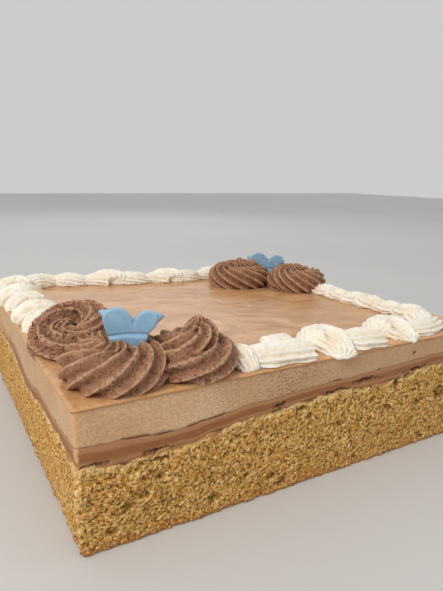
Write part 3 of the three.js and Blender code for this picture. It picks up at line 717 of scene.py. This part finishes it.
def make_sponge(relief):
    """Sponge: cut crumb with pores and hollows, a browned ragged foot, and caramel soaked into its top."""
    def push(share, points, travelled):
        left = np.where(travelled > 2 * SLAB_WIDTH + SLAB_DEPTH, 1.0, 0.4)
        swell = left * 1.4 * math.sin(math.pi * share)
        foot = -0.9 * max(0.0, 1 - share / 0.05)
        torn = wobble(points, 3.0, 20 + 9 * share) * 0.9 * max(0.0, 1 - share / 0.16)
        crack = np.clip(wobble(points, 11.0, 31.0) * 3 - 0.2, 0, 1) * -1.3 * max(0.0, (share - 0.955) / 0.045)
        return swell + foot + torn + crack

    def heights(points, travelled):
        return np.zeros(len(points)), sponge_top(points, travelled)

    material = baked_sponge()
    piece, share, around, places = layer("sponge", 0.56, 66, heights, push, (0.0, 38.0), material, foot_still=True)
    patches = uneven(places / (7, 7, 4))
    blot = np.exp(-((around - 25.3) / 3.2) ** 2 - ((places[:, 2] - 25.2) / 1.8) ** 2)
    give(piece, "stain", np.clip((share - 1.0 + 0.16 * patches) / 0.03, 0, 1))
    # Painted shade inside the torn holes and cracks.
    give(piece, "painted_shade", 0.9 * tear(piece, around, places, SPONGE_TEARS))
    give(piece, "blot", np.clip(blot * (1 + 1.5 * patches), 0, 1))
    roughen(piece, relief, material, (1.35, 0.85, 4.5, 1.5, 6.0, 1.3, -0.4, 0.35), share=0.12, flat=1.25)
    belongs(piece, "sponge", "sponge_base")
    make_crumbs(piece)


def crumb_tree():
    """Strews loose crumbs on a wall of sponge, most of them along its foot."""
    tree, value = new_tree("strewn_crumbs", "Per square metre", "Smallest", "Largest", "Foot height")
    place = add(tree, "GeometryNodeInputPosition")
    facing = add(tree, SPLIT, [add(tree, "GeometryNodeInputNormal")], "Z")
    upright = add(tree, MATH, [facing], operation="ABSOLUTE")
    wall = add(tree, MATH, [upright, 0.9], operation="LESS_THAN")
    foot = add(tree, RANGE, [add(tree, SPLIT, [place], "Z"), 0.0, value["Foot height"], 1.0, 0.03])
    thick = add(tree, MATH, [foot, wall], operation="MULTIPLY")
    density = add(tree, MATH, [thick, value["Per square metre"]], operation="MULTIPLY")
    strewn = add(tree, "GeometryNodeDistributePointsOnFaces",
                 {"Mesh": value["Geometry"], "Density": density, "Seed": 4})
    inward = add(tree, VECTOR, {0: strewn.node.outputs["Normal"], "Scale": -0.35 * MM}, operation="SCALE")
    bedded = add(tree, MOVE, {"Geometry": strewn, "Offset": inward})
    ball = add(tree, "GeometryNodeMeshIcoSphere", {"Radius": 1.0, "Subdivisions": 1})
    size = add(tree, "FunctionNodeRandomValue", {2: value["Smallest"], 3: value["Largest"], "Seed": 9})
    roll = add(tree, "FunctionNodeRandomValue", {0: (0.0, 0.0, 0.0), 1: (6.28, 6.28, 6.28), "Seed": 5},
               data_type="FLOAT_VECTOR")
    laid = add(tree, "GeometryNodeInstanceOnPoints",
               {"Points": bedded, "Instance": ball, "Rotation": roll, "Scale": size})
    bits = add(tree, NOISE, {"Vector": place, "Scale": 1 / (1.1 * MM)}, "Color")
    centred = add(tree, VECTOR, [bits, (0.5, 0.5, 0.5)], operation="SUBTRACT")
    pushed = add(tree, VECTOR, {0: centred, "Scale": 1.6 * MM}, operation="SCALE")
    torn = add(tree, MOVE, {"Geometry": add(tree, REAL, [laid]), "Offset": pushed})
    spot = add(tree, SPLIT, [place]).node.outputs
    floor = add(tree, MATH, [spot["Z"], 0.0], operation="MAXIMUM")
    grounded = add(tree, JOIN, [spot["X"], spot["Y"], floor])
    return finish_tree(tree, add(tree, MOVE, {"Geometry": torn, "Position": grounded}), value)


def make_crumbs(sponge):
    """Loose crumbs clinging to the sponge's cut walls."""
    wall = bmesh.new()
    wall.from_mesh(sponge.data)
    wall.verts.ensure_lookup_table()
    bmesh.ops.delete(wall, geom=wall.verts[-2:], context="VERTS")
    mesh = bpy.data.meshes.new("sponge_crumbs")
    wall.to_mesh(mesh)
    wall.free()
    crumbs = add_object("sponge_crumbs", mesh)
    with_nodes(crumbs, crumb_tree(), **{
        "Per square metre": 1500000.0, "Smallest": 0.3 * MM, "Largest": 0.9 * MM, "Foot height": 3.5 * MM,
        "Material": loose_crumb()})
    settle(crumbs)
    belongs(crumbs, "sponge")


def make_caramel(relief):
    """Caramel spread, dragged along the cut, with crevices where it has come away from the sponge, darkened by
    painted shade.
    """
    def push(share, points, travelled):
        edge = -0.5 * (max(0.0, 1 - share / 0.12) + max(0.0, (share - 0.9) / 0.1))
        return wobble(points, 12.0, 40 + 3 * share) * 0.14 + edge + 0.1

    def heights(points, travelled):
        return sponge_top(points, travelled) - 0.3, caramel_top(points, travelled)

    material = caramel_spread()
    piece, share, around, places = layer("caramel", 0.7, 12, heights, push, (38.0, 44.0), material)
    split = wobble(places, 9, 71.0, 2)
    low_edge = np.clip((split - 0.12) * 6, 0, 1) * np.clip((0.2 - share) / 0.1, 0, 1)
    high_edge = np.clip((np.roll(split, 97) - 0.1) * 6, 0, 1) * np.clip((share - 0.93) / 0.05, 0, 1)
    near = np.where((around > 14) & (around < 54), 1.0, 0.15)
    torn = tear(piece, around, places, CARAMEL_TEARS)
    # Painted shade in the crevices along the layer's lower and upper edges, the upper one most on the front, and in
    # its torn holes.
    give(piece, "painted_shade", np.maximum(np.maximum(0.7 * low_edge, high_edge * near), torn) * 0.9)
    give(piece, "smear", smears(around, places))
    roughen(piece, relief, material, (3.0, 0.1, 6, 0.15, 8, 0.6, -0.6, 0.6), share=0.03, flat=2.2)
    belongs(piece, "caramel", "caramel_layer")


def make_mousse(relief):
    """Mousse: a smooth cut face with a few burst bubbles and a chipped lower edge."""
    def push(share, points, travelled):
        chip = np.clip(wobble(points, 6.0, 52.0) * 2 - 0.3, 0, 1) * -0.8 * max(0.0, 1 - share / 0.05)
        return wobble(points, 30.0, 50 + share) * 0.15 + chip

    def heights(points, travelled):
        return caramel_top(points, travelled) - 0.1, mousse_top(points)

    material = cut_mousse()
    piece, share, around, places = layer("mousse", 0.7, 22, heights, push, (44.0, 53.7), material)
    front = (around > 14) & (around < 54)
    split = wobble(places, 8, 91.0, 2) + np.where(front, 0.25, -0.4)
    crack = np.clip(split * 5, 0, 1) * np.clip((0.055 - share) / 0.02, 0, 1)
    patches = np.array([noise.noise(place) for place in places / 15])
    # Painted shade in the crack along the chipped foot and in the torn holes.
    give(piece, "painted_shade", np.maximum(crack, tear(piece, around, places, MOUSSE_TEARS)))
    give(piece, "airy", np.clip(1 - np.abs(around - 80) / 46, 0, 1) * 0.85 + np.clip(patches * 0.6, 0, 0.3))
    # Painted shade for light that falls off: none at the near left corner, deepest at the front right, easing round
    # the back and left side.
    give(piece, "painted_falloff_shade", np.interp(around, [0, 40, 80, 170, 780], [0.0, 0.06, 0.35, 0.5, 0.2]))
    give(piece, "smear", smears(around, places))
    roughen(piece, relief, material, (3.5, 0.05, 16, 0.35, 5, 0.8, -0.4, 0.5), share=0.004)
    belongs(piece, "mousse", "mousse_layer")


def make_glaze(relief):
    """Glaze: a thin skin whose rounded rim stands a hair proud of the mousse and runs down unevenly."""
    def push(share, points, travelled):
        rim = 0.35 + 0.25 * math.sin(math.pi * share) - 0.7 * max(0.0, (share - 0.5) / 0.5) ** 2
        return rim + wobble(points, 9.0, 61.0) * 0.15

    def heights(points, travelled):
        lower = mousse_top(points) - 0.2 + wobble(points, 6.0, 15.0) * 0.35
        return lower, glaze_height(points[:, 0], points[:, 1]) - 0.12

    material = set_glaze()
    insets = (0.006, 0.015, 0.03, 0.06, 0.1, 0.16, 0.24, 0.34, 0.46, 0.6, 0.75, 0.9)
    middle = glaze_height(SLAB_WIDTH / 2, SLAB_DEPTH / 2)
    piece, share, around, places = layer(
        "glaze", 0.9, 6, heights, push, (middle - 1.6, middle), material, insets)
    x, y, _ = places.T
    inside = np.minimum(np.minimum(x, SLAB_WIDTH - x), np.minimum(y, SLAB_DEPTH - y))
    give(piece, "rim", np.clip(1.2 - (inside + 4 * wobble(places, 8, 33.0)) / 9, 0, 1))
    give(piece, "edge", np.clip((0.85 - share) / 0.3, 0, 1))
    roughen(piece, relief, material, (12, 0.0, 12, 0.35, 9, 0.0, -0.5, 0.5))
    belongs(piece, "glaze", "top_glaze")


# ---------------------------------------------------------------- piped cream

def rope_tree():
    """Sweeps a star nozzle's section along a path. The path's points carry the rope's radius, turn and groove.

    Below the bed the rope is pressed flat by Sag, and above it by Squash.
    """
    per_ridge = 8
    tree, value = new_tree("piped_rope", "Ridges", "Squash", "Sag")
    place = add(tree, "GeometryNodeInputPosition")
    turn, radius, valley, groove, bed = (
        add(tree, STORED, [name]) for name in ("turn", "radius_m", "valley", "groove", "bed"))
    middle = add(tree, STORED, ["middle"], data_type="FLOAT_VECTOR")
    points = add(tree, MATH, [value["Ridges"], per_ridge], operation="MULTIPLY")
    circle = add(tree, "GeometryNodeCurvePrimitiveCircle", {"Resolution": points, "Radius": 1.0})
    angle = add(tree, MATH, [add(tree, "GeometryNodeInputIndex"), math.pi / per_ridge], operation="MULTIPLY")
    swing = add(tree, MATH, [angle], operation="SINE")
    cusp = add(tree, MATH, [swing], operation="ABSOLUTE")
    soft = add(tree, MATH, [cusp, 1.25], operation="POWER")
    star = add(tree, STORE, {"Geometry": circle, "Name": "valley", "Value": soft})
    path = add(tree, "GeometryNodeMeshToCurve", [value["Geometry"]])
    tilted = add(tree, "GeometryNodeSetCurveTilt", {"Curve": path, "Tilt": turn})
    marked = add(tree, STORE, {"Geometry": tilted, "Name": "middle", "Value": place}, data_type="FLOAT_VECTOR")
    rope = add(tree, "GeometryNodeCurveToMesh",
               {"Curve": marked, "Profile Curve": star, "Scale": radius, "Fill Caps": True})
    depth = add(tree, MATH, [valley, groove], operation="MULTIPLY")
    inward = add(tree, VECTOR, [middle, place], operation="SUBTRACT")
    cut = add(tree, VECTOR, {0: inward, "Scale": depth}, operation="SCALE")
    grooved = add(tree, MOVE, {"Geometry": rope, "Offset": cut})
    spot = add(tree, SPLIT, [place]).node.outputs
    above = add(tree, MATH, [spot["Z"], bed], operation="SUBTRACT")
    lifted = add(tree, MATH, [above, 0.0], operation="MAXIMUM")
    lowered = add(tree, MATH, [above, 0.0], operation="MINIMUM")
    sagged = add(tree, MATH, [lowered, value["Sag"], lifted], operation="MULTIPLY_ADD")
    height = add(tree, MATH, [sagged, value["Squash"], bed], operation="MULTIPLY_ADD")
    settled = add(tree, JOIN, [spot["X"], spot["Y"], height])
    return finish_tree(tree, add(tree, MOVE, {"Geometry": grooved, "Position": settled}), value)


def rope_object(name, strands, material):
    """The paths of a piped piece, as lines of points: x, y, z, radius, turn, groove and bed, in millimetres."""
    points, edges = [], []
    for strand in strands:
        first = len(points)
        points += strand
        edges += [(i, i + 1) for i in range(first, len(points) - 1)]
    columns = np.array(points, float)
    piece = mesh_object(name, columns[:, :3], edges=edges, material=material)
    for column, (mark, unit) in enumerate((("radius_m", MM), ("turn", 1), ("groove", 1), ("bed", MM)), 3):
        give(piece, mark, columns[:, column] * unit)
    return piece


def eased(value, low, high):
    """A share that rises softly from 0 to 1 between two values."""
    share = min(1.0, max(0.0, (value - low) / (high - low)))
    return share * share * (3 - 2 * share)


def coil_strand(spec, steps=150):
    """The rope of a rosette: round the foot, then inwards and up to the tip."""
    base = glaze_height(spec["x"], spec["y"])
    top = ROSETTE_HEIGHT * spec["tall"]
    tip = math.radians(spec["tip"])
    strand = []
    for step in range(steps + 1):
        share = step / steps
        travelled = share * 2 * math.pi * COIL_TURNS
        angle = math.radians(spec["start"]) + spec["way"] * travelled
        inward = eased(share, 0.4, 1.0)
        reach = COIL_RADIUS * spec["size"] * (1 - 0.92 * inward ** 1.2)
        east, north = math.cos(angle) * reach * spec["long"], math.sin(angle) * reach * spec["deep"]
        towards = east * NEAR_LEFT[0] + north * NEAR_LEFT[1]
        x = spec["x"] + east + spec["lean"][0] * inward ** 2
        y = spec["y"] + north + spec["lean"][1] * inward ** 2
        z = base + COIL_RISE + (top - 3.4 - COIL_RISE) * inward ** 0.8 - towards * math.sin(tip)
        swell = (0.45 + 0.55 * eased(share, -0.02, 0.08)) * (1 - 0.55 * inward) * (1 - 0.6 * eased(share, 0.96, 1))
        turn = 2 * math.pi * travelled * COIL_RADIUS * spec["twist"] / RIDGE_PITCH
        strand.append((x, y, z, ROPE_RADIUS * spec["size"] * swell, -spec["way"] * turn, spec["groove"], base))
    return strand


def peak_strand(spec, steps=24):
    """The heart of a rosette. Where it is peaked, the nozzle has drawn it up into a blunt tip."""
    base = glaze_height(spec["x"], spec["y"])
    top = ROSETTE_HEIGHT * spec["tall"] - (0 if spec["peaked"] else 4)
    strand = []
    for step in range(steps + 1):
        share = step / steps
        x = spec["x"] + spec["lean"][0] * share ** 2
        y = spec["y"] + spec["lean"][1] * share ** 2
        radius = PEAK_FOOT_RADIUS * spec["size"] * (1 - share ** 2.2) * 0.85 + 1.0
        turn = spec["way"] * PEAK_TURN * share + math.radians(spec["start"])
        groove = spec["groove"] if spec["peaked"] else 0.1
        strand.append((x, y, base - 1 + (top + 1) * share, radius, turn, groove, base))
    return strand


def make_rosette(spec, rope, relief, material):
    """A rosette: its coil and its heart run together, pitted where the cream is airy."""
    node = "chocolate_rosette_" + spec["name"]
    piece = rope_object("piped_" + node, [coil_strand(spec), peak_strand(spec)], material)
    with_nodes(piece, rope, Ridges=spec["ridges"], Squash=1.0, Sag=1.0, Material=material)
    merge(piece, CREAM_VOXEL)
    airy = spec["airy"]
    roughen(piece, relief, material, (1.5, 0.15 + 0.35 * airy, 6, 0.9, 3.4, 0.7, -0.3, 0.22), share=0.14 * airy,
            smoothing=12)
    give(piece, "airy", np.full(len(piece.data.vertices), airy))
    belongs(piece, "chocolate_cream", node)


def run_curve(path, samples=40):
    """A smooth run through the marked points: a centripetal Catmull-Rom curve, with its length so far."""
    marks = np.array([(*point, 0.0) for point in path], float)
    marks = np.vstack([2 * marks[0] - marks[1], marks, 2 * marks[-1] - marks[-2]])
    points = []
    for a, b, c, d in zip(marks, marks[1:], marks[2:], marks[3:]):
        knots = np.cumsum([0] + [math.sqrt(np.linalg.norm(q - p)) for p, q in ((a, b), (b, c), (c, d))])
        for step in range(samples):
            t = knots[1] + (knots[2] - knots[1]) * step / samples
            first = [((knots[i + 1] - t) * p + (t - knots[i]) * q) / (knots[i + 1] - knots[i])
                     for i, (p, q) in enumerate(((a, b), (b, c), (c, d)))]
            second = [((knots[i + 2] - t) * first[i] + (t - knots[i]) * first[i + 1]) / (knots[i + 2] - knots[i])
                      for i in range(2)]
            points.append(((knots[2] - t) * second[0] + (t - knots[1]) * second[1]) / (knots[2] - knots[1]))
    points = np.array(points + [marks[-2]])
    length = np.concatenate([[0], np.cumsum(np.linalg.norm(np.diff(points, axis=0), axis=1))])
    return points, length


def closed_end(share, rounding):
    """Rounds off the end of a strand: how full it is at a share from its end."""
    return math.sqrt(max(0.02, 1 - (1 - min(1.0, max(0.0, share / rounding))) ** 2))


def bezier(marks, u):
    """The point at a share u along a Bezier piece."""
    weights = ((1 - u) ** 3, 3 * u * (1 - u) ** 2, 3 * u * u * (1 - u), u ** 3)
    return [sum(w * mark[axis] for w, mark in zip(weights, marks)) for axis in (0, 1)]


def piped(kind, u, start, span, lean, twist):
    """Where the nozzle is at a share u of a piece: s along it, t outwards, height, radius, turn and groove."""
    arch = math.sin(math.pi * u)
    if kind == "swirl":
        marks = [(0.2 * span, -1.0), (0.45 * span, -6.0), (0.92 * span, -5.5),
                 ((0.5 if lean > 2 else 0.7) * span, 9.0 + lean)]
        radius = 9.4 * (0.84 + 0.16 * eased(u, 0.0, 0.35)) * (1 - 0.22 * eased(u, 0.6, 0.9))
        radius *= closed_end(u, 0.3) * (1 - 0.62 * eased(u, 0.93, 1))
        rise = 1.0 * eased(u, 0.1, 0.5) - 4.5 * eased(u, 0.7, 1)
        return *bezier(marks, u), rise, radius, twist - 0.9 * u, 0.13 + 0.25 * eased(u, 0.3, 0.7)
    if kind == "shell":
        marks = [(1.0 * span, 1.0), (0.7 * span, 1.0), (-0.12 * span, 3.4), (0.02 * span, -6.5)]
        radius = 9.2 * (0.6 + 0.4 * eased(u, 0.05, 0.5)) * (1 - 0.35 * eased(u, 0.75, 1))
        radius *= closed_end(u, 0.06) * closed_end(1 - u, 0.12)
        return *bezier(marks, u), 0.8 * eased(u, 0.3, 0.7) - 1.5 * eased(u, 0.8, 1), radius, twist + 0.8 * u, 0.22
    if kind == "ribs":
        radius = span * 0.56 * (0.75 + 0.25 * arch) * closed_end(u, 0.08) * closed_end(1 - u, 0.08)
        return span / 2, -7.0 + 17.0 * u, 4.0 * arch - 2.5, radius, twist, 0.3
    if kind == "across":
        radius = span * 0.56 * (0.66 + 0.34 * eased(u, 0.05, 0.4)) * (1 - 0.3 * eased(u, 0.6, 1))
        radius *= closed_end(u, 0.1) * closed_end(1 - u, 0.1)
        s = span / 2 - 5.0 * (u - 0.5) + 3.0 * arch * (1 if lean > 1 else -1)
        t = 11.8 + 0.6 * lean - (15.6 + 0.6 * lean) * u
        rise = -5.5 * (1 - eased(u, 0.02, 0.34)) + 1.0 * arch
        return s, t, rise, radius, twist + 0.9 * u, 0.26 + 0.16 * eased(u, 0.7, 1)
    if kind == "fold":
        radius = 4.4 * (closed_end(u, 0.2) * closed_end(1 - u, 0.15))
        return span * (0.3 + 0.58 * u), -3.4, 6.4, radius, twist + 0.4 + 0.2 * u, 0.18
    s = -1.0 + (span + 2.0) * u
    if kind == "ruffle":
        wave = abs(math.sin(math.pi * (start + s) / RUFFLE_PERIOD))
        sway = noise.noise((0.11 * (start + s), 0.0, 4.0))
        radius = (5.8 + 2.2 * wave) * (1 + 0.2 * sway)
        return s, -2.0 * wave + 2.0 * sway, 0.4 * wave, radius, 0.11 * (start + s) + sway, 0.24
    if kind == "lens":
        radius = 9.0 * (0.62 + 0.38 * arch ** 0.6) * closed_end(1 - u, 0.08)
        return s, 0.6 - 3.0 * (u - 0.5), 0.0, radius, twist + 0.7 * u, 0.18
    return s, 2.2, 0.0, 9.3 * (0.86 + 0.14 * eased(u, 0.0, 0.2)), twist + 0.2 * u, 0.3


def cream_strand(points, length, start, span, kind, fullness, lean, twist, steps=44):
    """The path of the nozzle for one piece of the border, on the run's curve."""
    strand = []
    for step in range(steps + 1):
        s, t, rise, radius, turn, groove = piped(kind, step / steps, start, span, lean, twist)
        here, before, after = (np.array([np.interp(start + s + ahead, length, points[:, axis]) for axis in (0, 1)])
                               for ahead in (0, -1, 1))
        ahead = after - before
        size = math.hypot(*ahead) or 1.0
        bed = glaze_height(*here) + CREAM_LIFT
        strand.append((here[0] + ahead[1] / size * t, here[1] - ahead[0] / size * t, bed + rise, radius * fullness,
                       turn, groove, bed))
    return strand


def make_border(rope, relief, material):
    """The white border, piece by piece along its two runs. A hood is a flat piece with a fold on it."""
    draw = random.Random(7)
    counts = {}
    for run in CREAM_RUNS:
        points, length = run_curve(run["path"])
        along = 0.0
        for edge, kind, span, fullness, lean in run["pieces"]:
            counts[edge] = counts.get(edge, 0) + 1
            node = f"cream_{edge}_{counts[edge]}"
            twist = draw.random() * 0.4
            strands = [cream_strand(points, length, along, span, strand, fullness, lean, twist)
                       for strand in (("flat", "fold") if kind == "hood" else (kind,))]
            along += span
            piece = rope_object("piped_" + node, strands, material)
            ridges, squash = CREAM_KINDS[kind]
            with_nodes(piece, rope, Ridges=ridges, Squash=squash, Sag=CREAM_SAG, Material=material)
            merge(piece, CREAM_VOXEL)
            lumps = 2.0 if kind == "across" else 1.2
            roughen(piece, relief, material, (2.5, 0.15, 5, lumps, 5, 0.0, -0.3, 0.3), smoothing=10)
            belongs(piece, "white_cream", node)


# ---------------------------------------------------------------- butterflies

def wing_outline(span, height, foot, behind):
    """Outline of a pair of wings, as Bezier pieces: start, two handles, end. The pair behind has pointed tips."""
    half = span / 2
    if behind:
        right = [(0.3, 0), (0.52, 0.12), (0.76, 0.34), (1.0, 0.7), (0.86, 0.78), (0.5, 0.84), (0.04, 0.6)]
        left = [(0.04, 0.6), (-0.5, 0.98), (-0.84, 1.0), (-1.0, 0.92), (-0.8, 0.5), (-0.56, 0.2), (-0.3, 0)]
        sole = 0.3
    else:
        right = [(0.6, 0), (0.74, 0.12), (0.97, 0.36), (1.0, 0.6), (1.03, 0.8), (0.88, 0.88), (0.58, 0.88),
                 (0.34, 0.88), (0.16, 0.66), (0.09, 0.38)]
        left = [(0.09, 0.38), (0.02, 0.72), (-0.2, 1.0), (-0.5, 1.0), (-0.84, 1.0), (-1.03, 0.82), (-1.0, 0.55),
                (-0.98, 0.36), (-0.92, 0.15), (-0.87, 0)]
        sole = 0.28
    marks = [(x * half, y * height) for x, y in right + left[1:]]
    pieces = [marks[i:i + 4] for i in range(0, len(marks) - 1, 3)]
    (right_x, _), (left_x, _) = marks[0], marks[-1]
    low = [(left_x, 0), (0.92 * left_x, -0.45 * foot), (0.7 * left_x, -0.85 * foot), (-0.42 * half, -foot)]
    bottom = [low[-1], (-0.2 * half, -foot), (0.1 * half, -foot), (sole * half, -foot)]
    rise = [bottom[-1], (0.75 * right_x, -0.8 * foot), (0.95 * right_x, -0.4 * foot), (right_x, 0)]
    return [*pieces, low, bottom, rise]


def wing_plate(name, span, height, foot, behind):
    """A flat plate of paste in the shape of a pair of wings, with soft edges, standing in the XZ plane."""
    curve = bpy.data.curves.new(name, "CURVE")
    curve.dimensions = "2D"
    curve.fill_mode = "BOTH"
    spline = curve.splines.new("POLY")
    corners = []
    for marks in wing_outline(span, height, foot, behind):
        corners += [bezier(marks, step / 10) for step in range(10)]
    spline.points.add(len(corners) - 1)
    for point, (x, y) in zip(spline.points, corners):
        point.co = (x * MM, (y + foot) * MM, 0, 1)
    spline.use_cyclic_u = True
    soft = 0.7
    curve.bevel_depth = soft * MM
    curve.bevel_resolution = 4
    curve.offset = -soft * MM
    curve.extrude = (PASTE_THICKNESS / 2 - soft) * MM
    plate = add_object(name, curve)
    mesh = bpy.data.meshes.new_from_object(plate.evaluated_get(bpy.context.evaluated_depsgraph_get()))
    bpy.data.objects.remove(plate)
    mesh.transform(Matrix.Rotation(math.pi / 2, 4, "X"))
    solid = add_object(name, mesh)
    merge(solid, WING_VOXEL)
    settle(solid)
    return solid


def shape_wings(plate, foot, behind):
    """Presses the crease between the wings and the foot, and curls the wings a little."""
    points = np.array([v.co for v in plate.data.vertices]) / MM
    x, y, z = points.T
    line = foot + 0.35 - 0.012 * x * x
    crease = np.exp(-((z - line) / 0.45) ** 2)
    front = np.clip(-y / (PASTE_THICKNESS / 2), -1, 1)
    lobes = np.clip((z - line) / 6, 0, 1)
    if not behind:
        y = y + 0.55 * crease * np.clip(front, 0, 1) - 0.5 * np.clip((line - z) / 1.2, 0, 1)
    y = y + (0.012 if behind else -0.006) * x * x * lobes
    plate.data.vertices.foreach_set("co", (np.column_stack([x, y, z]) * MM).ravel())


def make_butterfly(spec, material):
    """Two pairs of wings folded up from one foot."""
    halves = []
    for behind in (False, True):
        span = WING_SPAN * spec["size"] * (BEHIND_WIDER if behind else 1)
        height = WING_HEIGHT * spec["size"] * (BEHIND_LOWER if behind else 1)
        foot = WING_FOOT * spec["size"]
        half = wing_plate("wings", span, height, foot, behind)
        shape_wings(half, foot, behind)
        tilt = (-1 if behind else 1) * spec["spread"] / 2 - spec["lean"]
        half.data.transform(Matrix.Rotation(math.radians(tilt), 4, "X"))
        halves.append(half)
    points, faces = [], []
    for half in halves:
        first = len(points)
        points += [v.co.copy() for v in half.data.vertices]
        faces += [[first + i for i in face.vertices] for face in half.data.polygons]
        bpy.data.objects.remove(half)
    mesh = bpy.data.meshes.new(spec["name"])
    mesh.from_pydata(points, [], faces)
    place = placed([(spec["x"], spec["y"], glaze_height(spec["x"], spec["y"]) + spec["foot"])])[0]
    mesh.transform(Matrix.Translation(place) @ Matrix.Rotation(math.radians(spec["facing"] + 90), 4, "Z"))
    mesh.materials.append(material)
    piece = add_object("paste_" + spec["name"], mesh)
    merge(piece, BUTTERFLY_VOXEL)
    settle(piece)
    piece.data.materials.clear()
    piece.data.materials.append(material)
    belongs(piece, "sugar_paste", spec["name"])


# ---------------------------------------------------------------- the cake

make_camera()
make_studio()

relief = relief_tree()
make_sponge(relief)
make_caramel(relief)
make_mousse(relief)
make_glaze(relief)

rope = rope_tree()
chocolate = chocolate_cream()
for rosette in ROSETTES:
    make_rosette(dict(zip(ROSETTE_KEYS, rosette)), rope, relief, chocolate)
make_border(rope, relief, white_cream())
paste = sugar_paste()
for butterfly in BUTTERFLIES:
    make_butterfly(butterfly, paste)
